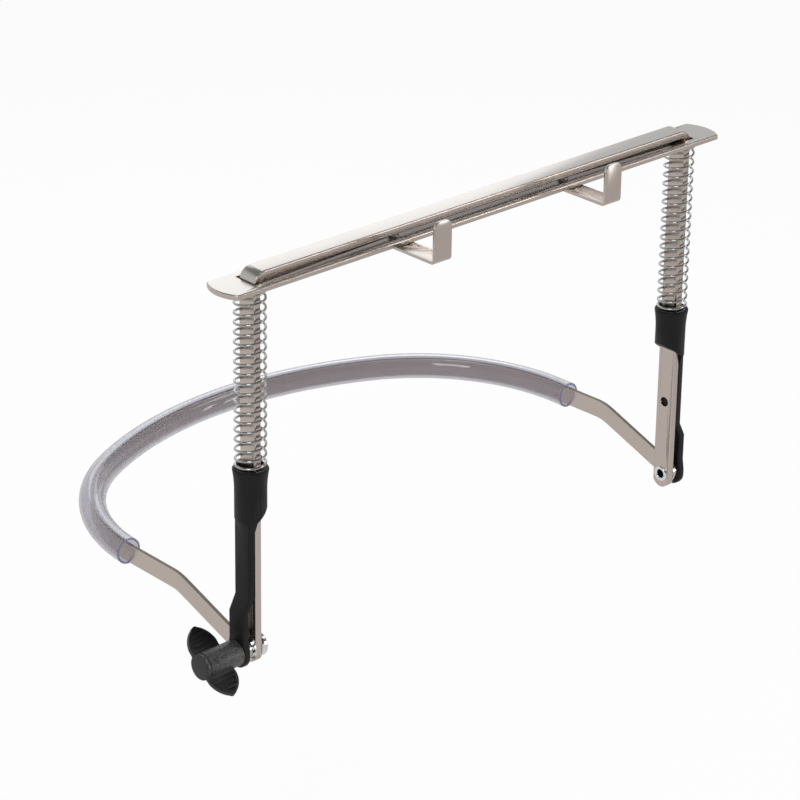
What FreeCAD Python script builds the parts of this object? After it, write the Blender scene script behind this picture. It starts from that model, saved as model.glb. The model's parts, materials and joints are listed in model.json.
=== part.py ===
import FreeCAD, Part
import math
import os

# Neck-worn harmonica holder.
#
# A flat bar is bent into a tall inverted U. Its two legs run down through slots in a clamp
# plate, through two compression springs and into two moulded arms, and end at a pivot. The
# springs push the plate up against the bar, so a harmonica is gripped between the two. A flat
# strap, bent round the neck inside a clear tube, turns on the same pivots. A wing knob clamps
# the left pivot, and a rivet closes the right one.
#
# Frame: X runs along the bar, +Y points back to the wearer's neck, +Z points up along the
# legs. The origin is midway between the two places where the strap's sides turn into the neck
# bend, in the strap's middle plane. All lengths are in millimetres.

V = FreeCAD.Vector
ORIGIN = V(0, 0, 0)
X_AXIS = V(1, 0, 0)
Y_AXIS = V(0, 1, 0)
Z_AXIS = V(0, 0, 1)
FULL_TURN = 360

# Bar and legs, one bent flat bar
leg_spacing = 210.0            # between the middles of the two legs
bar_width = 8.0                # front to back
bar_thickness = 2.8
bar_edge_radius = 0.5          # rounded long edges of the rolled bar
bend_inner_radius = 2.0
leg_end_below_pivot = 5.5      # the leg runs this far past the pivot
peg_hole_diameter = 3.8
peg_height = 30.4              # of the peg hole, above the pivot

# Clamp plate
plate_height = 138.0           # top face above the pivot, clamp closed
plate_gap = 0.8                # left between plate and bar when closed
plate_overhang = 14.4          # of the rounded ends, past the middles of the legs
plate_width = 16.2
plate_thickness = 2.0
plate_end_bulge = 2.6          # how far each rounded end stands out
plate_corner_radius = 0.6
plate_edge_radius = 0.45
slot_width = 10.2              # front to back
slot_outer_clearance = 0.7     # beside the outer face of the leg
slot_inner_clearance = 0.4     # beside its inner face, where the bend stops the plate
slot_corner_radius = 0.6

# Hooks that hold the harmonica's front
hook_spacing = 83.0            # between the middles of the two hooks
hook_width = 8.0
hook_thickness = 1.1
hook_reach = 26.4              # from the middle of the plate to the front face
hook_tip_height = 12.2         # above the top face of the plate
hook_bend_inner_radius = 0.6
hook_tip_radius = 2.7
hook_foot_back = 5.6           # how far the riveted foot runs back past the plate's middle
hook_edge_radius = 0.25

# Rivets through plate and hooks
rivet_offset = 1.2             # in front of the middle of the plate
rivet_shank_diameter = 2.5
rivet_head_diameter = 4.4
rivet_head_height = 0.7
rivet_tail_diameter = 4.2
rivet_tail_height = 0.8

# Compression springs
spring_outer_diameter = 11.5
wire_diameter = 0.9
spring_turns = 19.5
end_turn_pitch = 1.5
wire_sides = 6                 # flats round the wire
pieces_per_turn = 2            # route pieces in one turn

# Moulded arms: a sleeve above, a strip beside the leg, a boss at the pivot
sleeve_top_height = 69.2       # above the pivot
sleeve_rim_diameter = 13.0
sleeve_body_diameter = 11.4
sleeve_flare_height = 8.0
sleeve_edge_radius = 0.6
cup_diameter = 9.2
cup_depth = 3.0
sleeve_cut_top_height = 55.8   # where the slanting cut leaves the inner side
sleeve_cut_bottom_height = 50.3
shoulder_bottom_height = 46.3  # where the sleeve has narrowed to the strip
arm_strip_thickness = 2.8
arm_strip_width = 7.8
arm_boss_width = 9.2
arm_boss_thickness = 3.0
arm_end_below_pivot = 5.9
boss_top_height = 5.0           # where the strip starts to widen to the boss
boss_shoulder_height = 4.2
jog_top_height = 21.0
jog_bottom_height = 15.4
arm_edge_radius = 0.8
peg_diameter = 3.2
peg_recess = 0.4               # its end lies this far inside the leg's inner face

# Pivots
pivot_diameter = 4.8           # shank of the left bolt and of the right rivet
bolt_head_diameter = 8.8
bolt_head_height = 2.8
bolt_head_chamfer = 0.4
bolt_socket_across = 2.9
bolt_socket_depth = 1.6
bolt_tip_chamfer = 0.5
rivet_bore_diameter = 3.2      # the right pivot's rivet is a tube
rivet_roll_diameter = 6.2      # its end rolled over on the leg
rivet_roll_height = 0.7
rivet_flange_diameter = 7.2    # its low head on the outer side of the arm
rivet_flange_height = 0.9
rivet_flange_floor = 0.5       # metal left at the closed end of the bore
washer_diameter = 8.6
washer_thickness = 0.4         # on the outer face of the leg
lock_washer_diameter = 7.4
lock_washer_thickness = 0.6    # between washer and strap
lock_washer_slit = 1.0

# Wing knob and its threaded insert, left pivot
knob_hub_diameter = 9.6
knob_hub_length = 16.4
knob_edge_radius = 0.5
knob_cap_groove_width = 0.5
knob_cap_groove_depth = 0.3
knob_cap_thickness = 1.3
wing_reach = 14.0              # from the axis to the tip
wing_base_length = 11.4
wing_thickness = 1.8
rear_wing_angle = 43.0         # above the horizontal, in degrees
front_wing_angle = 34.0        # below the horizontal
wing_straight_reach = 7.0      # where the wing starts to narrow
wing_rim_width = 1.1
wing_field_depth = 0.5
wing_field_start = 6.2
wing_ridge_width = 0.8
wing_ridge_pitch = 1.8
wing_ridge_count = 4
wing_tip_radius = 1.0
insert_diameter = 6.8
insert_length = 9.0
bolt_tip_room = 1.0            # free bore past the bolt's tip

# Neck strap and tube
strap_width = 7.2
strap_thickness = 1.5
strap_rise = 13.0              # from the pivot axis up to the strap's middle plane
strap_side_length = 59.2       # from the pivot axis back to where the sides start to curve
strap_toe_in = 0.5             # each side comes in by this much between elbow and curve
elbow_distance = 35.5          # from the pivot axis back to the strap's elbow
elbow_radius = 18.0
ring_side_radius = 73.6
ring_back_radius = 147.5
strap_edge_radius = 0.3
tube_outer_diameter = 10.0
tube_inner_diameter = 8.4
tube_lift = 0.4                # of its middle above the strap's: the strap lies low in the bore
tube_right_end = 54.6          # of the tube, back from the pivot axis
tube_left_end = 64.3

# Fits
running_clearance = 0.08       # round a bolt that something turns on
hole_clearance = 0.15          # round a bolt that nothing turns on
face_clearance = 0.1           # between flat faces of two moving pieces
leg_clearance = 0.1            # round the leg in its sleeve
seat_clearance = 0.1           # at each end of a spring
insert_clearance = 0.02
overrun = 2.0                  # how far every cutting solid runs past what it cuts

# Places worked out from the sizes above
leg_x = leg_spacing / 2
leg_outer = leg_x + bar_thickness / 2
leg_inner = leg_x - bar_thickness / 2
lock_washer_inner = leg_outer + washer_thickness
strap_inner = lock_washer_inner + lock_washer_thickness + face_clearance
strap_outer = strap_inner + strap_thickness
strap_x = strap_inner + strap_thickness / 2
ring_x = strap_x - strap_toe_in
boss_inner = strap_outer + face_clearance
boss_outer = boss_inner + arm_boss_thickness
pivot_y = -strap_side_length
pivot_z = -strap_rise
bar_underside = plate_height + plate_gap
bar_top = bar_underside + bar_thickness
plate_underside = plate_height - plate_thickness
pivot_radius = pivot_diameter / 2
spring_bottom = sleeve_top_height + seat_clearance
spring_top = plate_underside - seat_clearance
spring_radius = (spring_outer_diameter - wire_diameter) / 2
hub_inner = boss_outer + face_clearance
insert_outer = hub_inner + insert_length


def at_pivot(x, y, z):
    """A point given from the middle of the pivot axis."""
    return V(x, pivot_y + y, pivot_z + z)


def polygon(points):
    """A flat face with straight sides."""
    return Part.Face(Part.makePolygon(points + points[:1]))


def line(start, end):
    return Part.LineSegment(start, end).toShape()


def arc(start, middle, end):
    return Part.Arc(start, middle, end).toShape()


def box_between(low, high):
    size = high - low
    return Part.makeBox(size.x, size.y, size.z, low)


def drill(radius, start_x, end_x, y, z):
    """A round bar along X, used as a hole or a peg."""
    return Part.makeCylinder(radius, end_x - start_x, at_pivot(start_x, y, z), X_AXIS)


def mirrored(shape):
    """The same piece for the left-hand side."""
    return shape.mirror(ORIGIN, X_AXIS)


def edges_where(shape, test):
    return [edge for edge in shape.Edges if test(edge)]


def rounded(shape, radius, test):
    """Round the edges that pass the test."""
    return shape.makeFillet(radius, edges_where(shape, test))


def middle_of(edge):
    return edge.valueAt((edge.FirstParameter + edge.LastParameter) / 2)


def joined(shapes):
    """One solid from pieces that share faces."""
    whole = shapes[0].fuse(shapes[1:])
    return whole.removeSplitter()


def rounded_section(origin, across, along, width, length, radius):
    """A rectangle with rounded corners about a point, in the plane of two unit directions."""
    half_width = width / 2
    half_length = length / 2
    corner = radius * (1 - math.sqrt(0.5))
    edges = []
    ends = []
    for side, end in ((1, 1), (-1, 1), (-1, -1), (1, -1)):
        tip = (side * half_width, end * half_length)
        first = (tip[0], tip[1] - end * radius)
        last = (tip[0] - side * radius, tip[1])
        if side * end < 0:
            first, last = last, first
        mid = (tip[0] - side * corner, tip[1] - end * corner)
        ends.append([origin + across * p[0] + along * p[1] for p in (first, mid, last)])
    for index, points in enumerate(ends):
        edges.append(arc(*points))
        edges.append(line(points[2], ends[(index + 1) % len(ends)][0]))
    return Part.Face(Part.Wire(edges))


def make_top_bar():
    """The bar and both legs: a rolled section led down, round the bends and across."""
    bend_middle_radius = bend_inner_radius + bar_thickness / 2
    bend_z = bar_underside - bend_inner_radius
    bend_x = leg_inner - bend_inner_radius
    section = rounded_section(
        at_pivot(leg_x, 0, bend_z), X_AXIS, Y_AXIS, bar_thickness, bar_width, bar_edge_radius)
    leg = section.extrude(V(0, 0, -bend_z - leg_end_below_pivot))
    bend = section.revolve(at_pivot(bend_x, 0, bend_z), V(0, -1, 0), FULL_TURN / 4)
    web_section = rounded_section(
        at_pivot(bend_x, 0, bend_z + bend_middle_radius),
        Z_AXIS, Y_AXIS, bar_thickness, bar_width, bar_edge_radius)
    web = web_section.extrude(V(-2 * bend_x, 0, 0))
    end_radius = bar_width / 2
    round_end = Part.makeCylinder(
        end_radius, bar_thickness + 2 * overrun,
        at_pivot(leg_inner - overrun, 0, end_radius - leg_end_below_pivot), X_AXIS)
    above = box_between(
        at_pivot(leg_inner - overrun, -end_radius, end_radius - leg_end_below_pivot),
        at_pivot(leg_outer + overrun, end_radius, bend_z + overrun))
    leg = leg.common(round_end.fuse(above))
    through = overrun + bar_thickness
    leg = leg.cut(drill(pivot_radius + hole_clearance, leg_inner - through, leg_outer + through, 0, 0))
    leg = leg.cut(drill(peg_hole_diameter / 2, leg_inner - through, leg_outer + through, 0, peg_height))
    right_side = [leg, bend]
    left_side = [mirrored(shape) for shape in right_side]
    return joined([web] + right_side + left_side)


def make_clamp_plate():
    """The sprung plate, with convex ends and a slot for each leg."""
    half = leg_x + plate_overhang
    side = plate_width / 2
    corner_x = half - plate_end_bulge
    outline = Part.Wire([
        line(at_pivot(-corner_x, -side, plate_underside), at_pivot(corner_x, -side, plate_underside)),
        arc(at_pivot(corner_x, -side, plate_underside), at_pivot(half, 0, plate_underside),
            at_pivot(corner_x, side, plate_underside)),
        line(at_pivot(corner_x, side, plate_underside), at_pivot(-corner_x, side, plate_underside)),
        arc(at_pivot(-corner_x, side, plate_underside), at_pivot(-half, 0, plate_underside),
            at_pivot(-corner_x, -side, plate_underside))])
    plate = Part.Face(outline).extrude(V(0, 0, plate_thickness))
    plate = rounded(plate, plate_corner_radius, is_upright)
    plate = rounded(plate, plate_edge_radius, lambda edge: not is_upright(edge))
    slot_inner = leg_inner - slot_inner_clearance
    slot_outer = leg_outer + slot_outer_clearance
    slot = box_between(
        at_pivot(slot_inner, -slot_width / 2, plate_underside - overrun),
        at_pivot(slot_outer, slot_width / 2, plate_height + overrun))
    slot = rounded(slot, slot_corner_radius, is_upright)
    plate = plate.cut([slot, mirrored(slot)])
    for x in (-hook_spacing / 2, hook_spacing / 2):
        plate = plate.cut(rivet_bore(x))
    return plate


def is_upright(edge):
    """True for a straight edge along Z."""
    ends = [vertex.Point for vertex in edge.Vertexes]
    if len(ends) < 2:
        return False
    return (ends[0] - ends[1]).cross(Z_AXIS).Length < 0.001 * edge.Length


def rivet_bore(x):
    return Part.makeCylinder(
        rivet_shank_diameter / 2, plate_thickness + hook_thickness + 2 * overrun,
        at_pivot(x, -rivet_offset, plate_underside - hook_thickness - overrun))


def make_hook(x):
    """A strip riveted under the plate, that runs forward and turns up."""
    back = hook_foot_back
    front = -hook_reach
    bottom = plate_underside - hook_thickness
    tip = plate_height + hook_tip_height
    outer = hook_bend_inner_radius + hook_thickness
    turn = math.sqrt(0.5)
    low_x = x - hook_width / 2
    centre_y = front + outer
    centre_z = bottom + outer
    profile = Part.Wire([
        line(at_pivot(low_x, back, bottom), at_pivot(low_x, centre_y, bottom)),
        arc(at_pivot(low_x, centre_y, bottom),
            at_pivot(low_x, centre_y - outer * turn, centre_z - outer * turn),
            at_pivot(low_x, front, centre_z)),
        line(at_pivot(low_x, front, centre_z), at_pivot(low_x, front, tip)),
        line(at_pivot(low_x, front, tip), at_pivot(low_x, front + hook_thickness, tip)),
        line(at_pivot(low_x, front + hook_thickness, tip),
             at_pivot(low_x, front + hook_thickness, centre_z)),
        arc(at_pivot(low_x, front + hook_thickness, centre_z),
            at_pivot(low_x, centre_y - hook_bend_inner_radius * turn,
                     centre_z - hook_bend_inner_radius * turn),
            at_pivot(low_x, centre_y, plate_underside)),
        line(at_pivot(low_x, centre_y, plate_underside), at_pivot(low_x, back, plate_underside)),
        line(at_pivot(low_x, back, plate_underside), at_pivot(low_x, back, bottom))])
    hook = Part.Face(profile).extrude(V(hook_width, 0, 0))
    hook = rounded(hook, hook_tip_radius, lambda edge: middle_of(edge).z > tip + pivot_z
                   - hook_edge_radius and is_along_y(edge))
    return hook.cut(rivet_bore(x))


def is_along_y(edge):
    ends = [vertex.Point for vertex in edge.Vertexes]
    if len(ends) < 2:
        return False
    return (ends[0] - ends[1]).cross(Y_AXIS).Length < 0.001 * edge.Length


def dome_middle(radius, height):
    """Reach and rise of a spherical cap half way along its arc, from its rim's middle."""
    ball = (radius ** 2 + height ** 2) / (2 * height)
    angle = math.asin(radius / ball) / 2
    return ball * math.sin(angle), height - ball * (1 - math.cos(angle))


def make_rivet(x):
    """A low-headed rivet, set from below."""
    shank = rivet_shank_diameter / 2
    head = rivet_head_diameter / 2
    tail = rivet_tail_diameter / 2
    foot = plate_underside - hook_thickness
    y = -rivet_offset
    head_reach, head_rise = dome_middle(head, rivet_head_height)
    tail_reach, tail_rise = dome_middle(tail, rivet_tail_height)
    profile = Part.Wire([
        line(at_pivot(x, y, foot - rivet_tail_height), at_pivot(x, y, plate_height + rivet_head_height)),
        arc(at_pivot(x, y, plate_height + rivet_head_height),
            at_pivot(x + head_reach, y, plate_height + head_rise),
            at_pivot(x + head, y, plate_height)),
        line(at_pivot(x + head, y, plate_height), at_pivot(x + shank, y, plate_height)),
        line(at_pivot(x + shank, y, plate_height), at_pivot(x + shank, y, foot)),
        line(at_pivot(x + shank, y, foot), at_pivot(x + tail, y, foot)),
        arc(at_pivot(x + tail, y, foot),
            at_pivot(x + tail_reach, y, foot - tail_rise),
            at_pivot(x, y, foot - rivet_tail_height))])
    return Part.Face(profile).revolve(at_pivot(x, y, foot), Z_AXIS, FULL_TURN)


def spring_rise(turn, body_pitch):
    """Height of the wire's middle after so many turns: close end turns, even turns between."""
    blend = 0.5                # turns over which the pitch changes
    top = spring_turns - 1 - blend
    slope = (body_pitch - end_turn_pitch) / blend
    rise = end_turn_pitch * min(turn, 1)
    if turn > 1:
        part = min(turn - 1, blend)
        rise += end_turn_pitch * part + slope * part * part / 2
    if turn > 1 + blend:
        rise += body_pitch * (min(turn, top) - 1 - blend)
    if turn > top:
        part = min(turn - top, blend)
        rise += body_pitch * part - slope * part * part / 2
    if turn > top + blend:
        rise += end_turn_pitch * (turn - top - blend)
    return rise


def body_pitch_of_spring():
    """The pitch of the even turns, that fills the room between sleeve and plate."""
    room = spring_top - spring_bottom - wire_diameter
    close_turns = 2.5
    return (room - end_turn_pitch * close_turns) / (spring_turns - close_turns)


def spring_point(turn, body_pitch):
    angle = 2 * math.pi * turn
    return at_pivot(leg_x + spring_radius * math.cos(angle), spring_radius * math.sin(angle),
                    spring_bottom + wire_diameter / 2 + spring_rise(turn, body_pitch))


def spring_direction(turn, body_pitch):
    angle = 2 * math.pi * turn
    step = 0.001
    low = max(turn - step, 0)
    high = min(turn + step, spring_turns)
    climb = spring_rise(high, body_pitch) - spring_rise(low, body_pitch)
    run = 2 * math.pi * spring_radius * (high - low)
    return V(-math.sin(angle), math.cos(angle), climb / run).normalize()


def smooth_pair(start, leave, end, arrive):
    """Two arcs from start to end that keep both directions and meet without a corner."""
    chord = end - start
    both = leave + arrive
    spread = 2 * (1 - leave.dot(arrive))
    reach = (math.sqrt(chord.dot(both) ** 2 + spread * chord.dot(chord)) - chord.dot(both)) / spread
    first = start + leave * reach
    second = end - arrive * reach
    meet = (first + second) * 0.5
    return [arc_by_corner(start, first, meet), arc_by_corner(meet, second, end)]


def arc_by_corner(start, corner, end):
    """The arc from start to end whose tangents meet at the corner."""
    middle = (start + end) * 0.5
    half_chord = (end - start).Length / 2
    height = (corner - middle).Length
    rise = half_chord * (math.sqrt(half_chord ** 2 + height ** 2) - half_chord) / height
    return arc(start, middle + (corner - middle) * (rise / height), end)


def make_spring():
    """One unbroken wire: a helix of half turns, each led by two arcs."""
    body_pitch = body_pitch_of_spring()
    count = round(spring_turns * pieces_per_turn)
    turns = [spring_turns * index / count for index in range(count + 1)]
    route = []
    for low, high in zip(turns, turns[1:]):
        route += smooth_pair(
            spring_point(low, body_pitch), spring_direction(low, body_pitch),
            spring_point(high, body_pitch), spring_direction(high, body_pitch))
    start = spring_point(0, body_pitch)
    along = spring_direction(0, body_pitch)
    across = V(math.cos(0), math.sin(0), 0)
    third = along.cross(across).normalize()
    corner_radius = wire_diameter / 2
    corners = []
    for index in range(wire_sides):
        angle = 2 * math.pi * (index + 0.5) / wire_sides
        corners.append(start + across * (corner_radius * math.cos(angle))
                       + third * (corner_radius * math.sin(angle)))
    section = Part.makePolygon(corners + corners[:1])
    pipe = Part.BRepOffsetAPI.MakePipeShell(Part.Wire(route))
    pipe.add(section)
    pipe.build()
    pipe.makeSolid()
    print_spring_gap(body_pitch)
    return pipe.shape()


def print_spring_gap(body_pitch):
    """Measure the least gap between turns on points of the wire's middle line."""
    per_turn = 36
    count = round(spring_turns * per_turn)
    points = [spring_point(spring_turns * i / count, body_pitch) for i in range(count + 1)]
    nearest = min((points[i] - points[j]).Length
                  for i in range(len(points))
                  for j in range(i + per_turn // 2, min(i + 2 * per_turn, len(points))))
    print("spring: pitch %.3f, least gap between turns %.3f" % (body_pitch, nearest - wire_diameter))


def make_arm():
    """The right-hand moulded arm."""
    rim = sleeve_rim_diameter / 2
    body = sleeve_body_diameter / 2
    strip_outer = leg_outer + leg_clearance + arm_strip_thickness
    strip_reach = strip_outer - leg_x
    flare_bottom = sleeve_top_height - sleeve_flare_height
    flare_middle_share = 0.28  # of the flare's width left at half its height
    waist = body + (rim - body) * flare_middle_share
    sleeve_profile = Part.Wire([
        line(at_pivot(leg_x, 0, shoulder_bottom_height), at_pivot(leg_x + strip_reach, 0, shoulder_bottom_height)),
        line(at_pivot(leg_x + strip_reach, 0, shoulder_bottom_height),
             at_pivot(leg_x + body, 0, sleeve_cut_bottom_height)),
        line(at_pivot(leg_x + body, 0, sleeve_cut_bottom_height), at_pivot(leg_x + body, 0, flare_bottom)),
        arc(at_pivot(leg_x + body, 0, flare_bottom),
            at_pivot(leg_x + waist, 0, sleeve_top_height - sleeve_flare_height / 2),
            at_pivot(leg_x + rim, 0, sleeve_top_height)),
        line(at_pivot(leg_x + rim, 0, sleeve_top_height), at_pivot(leg_x, 0, sleeve_top_height)),
        line(at_pivot(leg_x, 0, sleeve_top_height), at_pivot(leg_x, 0, shoulder_bottom_height))])
    sleeve = Part.Face(sleeve_profile).revolve(at_pivot(leg_x, 0, 0), Z_AXIS, FULL_TURN)
    sleeve = rounded(sleeve, sleeve_edge_radius, lambda edge: middle_of(edge).z
                     > sleeve_top_height + pivot_z - sleeve_edge_radius)

    # The slanting cut, and all that lies inwards of the strip below it
    inner_face = leg_outer + leg_clearance
    far_in = leg_x - rim - overrun
    cut_outline = [
        at_pivot(far_in, 0, sleeve_cut_top_height), at_pivot(leg_x - body, 0, sleeve_cut_top_height),
        at_pivot(inner_face, 0, sleeve_cut_bottom_height),
        at_pivot(inner_face, 0, shoulder_bottom_height - overrun),
        at_pivot(far_in, 0, shoulder_bottom_height - overrun)]
    wedge = polygon(cut_outline).extrude(V(0, 2 * rim, 0))
    wedge.translate(V(0, -rim, 0))
    sleeve = sleeve.cut(wedge)

    strip = make_arm_strip(inner_face, strip_outer)
    arm = sleeve.fuse(strip)

    leg_slot = box_between(
        at_pivot(leg_inner - leg_clearance, -bar_width / 2 - leg_clearance,
                 shoulder_bottom_height - overrun),
        at_pivot(leg_outer + leg_clearance, bar_width / 2 + leg_clearance,
                 sleeve_top_height + overrun))
    cup = Part.makeCylinder(
        cup_diameter / 2, cup_depth + overrun, at_pivot(leg_x, 0, sleeve_top_height - cup_depth))
    arm = arm.cut([leg_slot, cup])
    peg = drill(peg_diameter / 2, leg_inner + peg_recess, inner_face + overrun / 2, 0, peg_height)
    arm = arm.fuse(peg)
    bore = drill(pivot_radius + hole_clearance, boss_inner - overrun, boss_outer + overrun, 0, 0)
    return arm.cut(bore).removeSplitter()


def make_arm_strip(inner_face, strip_outer):
    """The strip beside the leg, its outward step and the boss, with rounded long edges."""
    strip_x = (inner_face + strip_outer) / 2
    boss_x = (boss_inner + boss_outer) / 2
    boss_radius = arm_boss_width / 2
    end_z = boss_radius - arm_end_below_pivot

    def section(x, z, thickness, width):
        return rounded_section(
            at_pivot(x, 0, z), X_AXIS, Y_AXIS, thickness, width, arm_edge_radius)

    upper = section(strip_x, jog_top_height, arm_strip_thickness, arm_strip_width)
    strip = upper.extrude(V(0, 0, sleeve_cut_bottom_height - jog_top_height))
    lower = section(boss_x, jog_bottom_height, arm_boss_thickness, arm_strip_width)
    step = Part.makeLoft([upper.OuterWire, lower.OuterWire], True, True)
    tail = lower.extrude(V(0, 0, boss_top_height - jog_bottom_height))
    narrow = section(boss_x, boss_top_height, arm_boss_thickness, arm_strip_width)
    wide = section(boss_x, boss_top_height - boss_shoulder_height, arm_boss_thickness, arm_boss_width)
    shoulder = Part.makeLoft([narrow.OuterWire, wide.OuterWire], True, True)
    sides = wide.extrude(V(0, 0, end_z + boss_shoulder_height - boss_top_height))
    boss = Part.makeCylinder(
        boss_radius, arm_boss_thickness, at_pivot(boss_inner, 0, end_z), X_AXIS)
    boss = boss.makeFillet(arm_edge_radius, [edge for edge in boss.Edges if len(edge.Vertexes) < 2])
    return strip.fuse([step, tail, shoulder, sides, boss])


def hexagon(across, start_x, length):
    """A six-sided bar along the pivot axis."""
    corner = across / math.sqrt(3)
    points = []
    for index in range(6):
        angle = 2 * math.pi * index / 6
        points.append(at_pivot(start_x, corner * math.sin(angle), corner * math.cos(angle)))
    return polygon(points).extrude(V(length, 0, 0))


def make_pivot_bolt():
    """A round head with a bevelled face and a six-sided socket, on the inner side of the leg."""
    head = bolt_head_diameter / 2
    top = leg_inner - bolt_head_height
    profile = Part.makePolygon([
        at_pivot(top, 0, 0), at_pivot(insert_outer, 0, 0),
        at_pivot(insert_outer, 0, pivot_radius - bolt_tip_chamfer),
        at_pivot(insert_outer - bolt_tip_chamfer, 0, pivot_radius),
        at_pivot(leg_inner, 0, pivot_radius), at_pivot(leg_inner, 0, head),
        at_pivot(top + bolt_head_chamfer, 0, head), at_pivot(top, 0, head - bolt_head_chamfer),
        at_pivot(top, 0, 0)])
    bolt = Part.Face(profile).revolve(at_pivot(0, 0, 0), X_AXIS, FULL_TURN)
    return bolt.cut(hexagon(bolt_socket_across, top - overrun, bolt_socket_depth + overrun))


def ring_along_x(outer_radius, inner_radius, start_x, thickness):
    disc = Part.makeCylinder(outer_radius, thickness, at_pivot(start_x, 0, 0), X_AXIS)
    hole = Part.makeCylinder(
        inner_radius, thickness + 2 * overrun, at_pivot(start_x - overrun, 0, 0), X_AXIS)
    return disc.cut(hole)


def make_washer():
    return ring_along_x(
        washer_diameter / 2, pivot_radius + hole_clearance, leg_outer, washer_thickness)


def make_lock_washer():
    """A split spring washer, pressed flat, with its slanting slit at the front."""
    ring = ring_along_x(
        lock_washer_diameter / 2, pivot_radius + hole_clearance,
        lock_washer_inner, lock_washer_thickness)
    slit = box_between(
        at_pivot(lock_washer_inner - overrun, -lock_washer_diameter, -lock_washer_slit / 2),
        at_pivot(strap_inner + overrun, 0, lock_washer_slit / 2))
    slit_slant = 25            # degrees
    slit.rotate(at_pivot(lock_washer_inner + lock_washer_thickness / 2, 0, 0), Y_AXIS, slit_slant)
    return ring.cut(slit)


def make_right_rivet():
    """A tubular rivet: a low head on the arm, a closed end there, and a rim rolled over the leg."""
    bore = rivet_bore_diameter / 2
    roll = rivet_roll_diameter / 2
    flange = rivet_flange_diameter / 2
    top = leg_inner - rivet_roll_height
    flange_top = boss_outer + rivet_flange_height
    bore_end = flange_top - rivet_flange_floor
    roll_middle = (bore + roll) / 2
    dome_reach, dome_rise = dome_middle(flange, rivet_flange_height)
    profile = Part.Wire([
        line(at_pivot(bore_end, 0, 0), at_pivot(flange_top, 0, 0)),
        arc(at_pivot(flange_top, 0, 0), at_pivot(boss_outer + dome_rise, 0, dome_reach),
            at_pivot(boss_outer, 0, flange)),
        line(at_pivot(boss_outer, 0, flange), at_pivot(boss_outer, 0, pivot_radius)),
        line(at_pivot(boss_outer, 0, pivot_radius), at_pivot(leg_inner, 0, pivot_radius)),
        line(at_pivot(leg_inner, 0, pivot_radius), at_pivot(leg_inner, 0, roll)),
        arc(at_pivot(leg_inner, 0, roll), at_pivot(top, 0, roll_middle), at_pivot(leg_inner, 0, bore)),
        line(at_pivot(leg_inner, 0, bore), at_pivot(bore_end, 0, bore)),
        line(at_pivot(bore_end, 0, bore), at_pivot(bore_end, 0, 0))])
    return Part.Face(profile).revolve(at_pivot(0, 0, 0), X_AXIS, FULL_TURN)


def make_wing():
    """One wing of the knob, standing up from the axis: a petal with a rim and grip ridges."""
    middle = hub_inner + knob_hub_length - wing_base_length / 2
    half = wing_base_length / 2
    root = knob_hub_diameter / 4
    narrow_share = 0.74        # of the half width left where the petal is drawn in
    narrow_reach_share = 0.52  # of the way from the straight part to the tip
    narrow = half * narrow_share
    narrow_reach = wing_straight_reach + (wing_reach - wing_straight_reach) * narrow_reach_share
    tip_back = middle - wing_tip_radius
    tip_front = middle + wing_tip_radius
    shoulder = wing_reach - wing_tip_radius / 2
    y = -wing_thickness / 2
    outline = Part.Wire([
        line(at_pivot(middle - half, y, root), at_pivot(middle - half, y, wing_straight_reach)),
        arc(at_pivot(middle - half, y, wing_straight_reach),
            at_pivot(middle - narrow, y, narrow_reach), at_pivot(tip_back, y, shoulder)),
        arc(at_pivot(tip_back, y, shoulder), at_pivot(middle, y, wing_reach),
            at_pivot(tip_front, y, shoulder)),
        arc(at_pivot(tip_front, y, shoulder), at_pivot(middle + narrow, y, narrow_reach),
            at_pivot(middle + half, y, wing_straight_reach)),
        line(at_pivot(middle + half, y, wing_straight_reach), at_pivot(middle + half, y, root)),
        line(at_pivot(middle + half, y, root), at_pivot(middle - half, y, root))])
    face = Part.Face(outline)
    petal = face.extrude(V(0, wing_thickness, 0))
    field = face.makeOffset2D(-wing_rim_width).extrude(V(0, wing_thickness, 0))
    keep_out = box_between(
        at_pivot(middle - wing_base_length, -wing_thickness, 0),
        at_pivot(middle + wing_base_length, wing_thickness, wing_field_start))
    field = field.cut(keep_out)
    for index in range(wing_ridge_count):
        low = wing_field_start + wing_ridge_pitch * (index + 0.5)
        field = field.cut(box_between(
            at_pivot(middle - wing_base_length, -wing_thickness, low),
            at_pivot(middle + wing_base_length, wing_thickness, low + wing_ridge_width)))
    core = box_between(
        at_pivot(middle - wing_base_length, -wing_thickness / 2 + wing_field_depth, 0),
        at_pivot(middle + wing_base_length, wing_thickness / 2 - wing_field_depth, wing_reach))
    return petal.cut(field.cut(core))


def make_wing_knob():
    """The left-hand knob: a hub with a capped end and two wings."""
    hub_end = hub_inner + knob_hub_length
    hub = Part.makeCylinder(
        knob_hub_diameter / 2, knob_hub_length, at_pivot(hub_inner, 0, 0), X_AXIS)
    hub = rounded(hub, knob_edge_radius, lambda edge: middle_of(edge).x > hub_end - knob_edge_radius
                  and edge.Length > knob_hub_diameter * 2)
    groove = ring_along_x(
        knob_hub_diameter, knob_hub_diameter / 2 - knob_cap_groove_depth,
        hub_end - knob_cap_thickness - knob_cap_groove_width, knob_cap_groove_width)
    hub = hub.cut(groove)
    knob = hub
    for angle in (rear_wing_angle - 90, front_wing_angle + 90):
        wing = make_wing()
        wing.rotate(at_pivot(0, 0, 0), X_AXIS, angle)
        knob = knob.fuse(wing)
    pocket = drill(insert_diameter / 2 + insert_clearance, hub_inner - overrun, insert_outer, 0, 0)
    tip_bore = drill(
        pivot_radius + running_clearance, hub_inner, insert_outer + bolt_tip_room, 0, 0)
    return mirrored(knob.cut([pocket, tip_bore]).removeSplitter())


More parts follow.
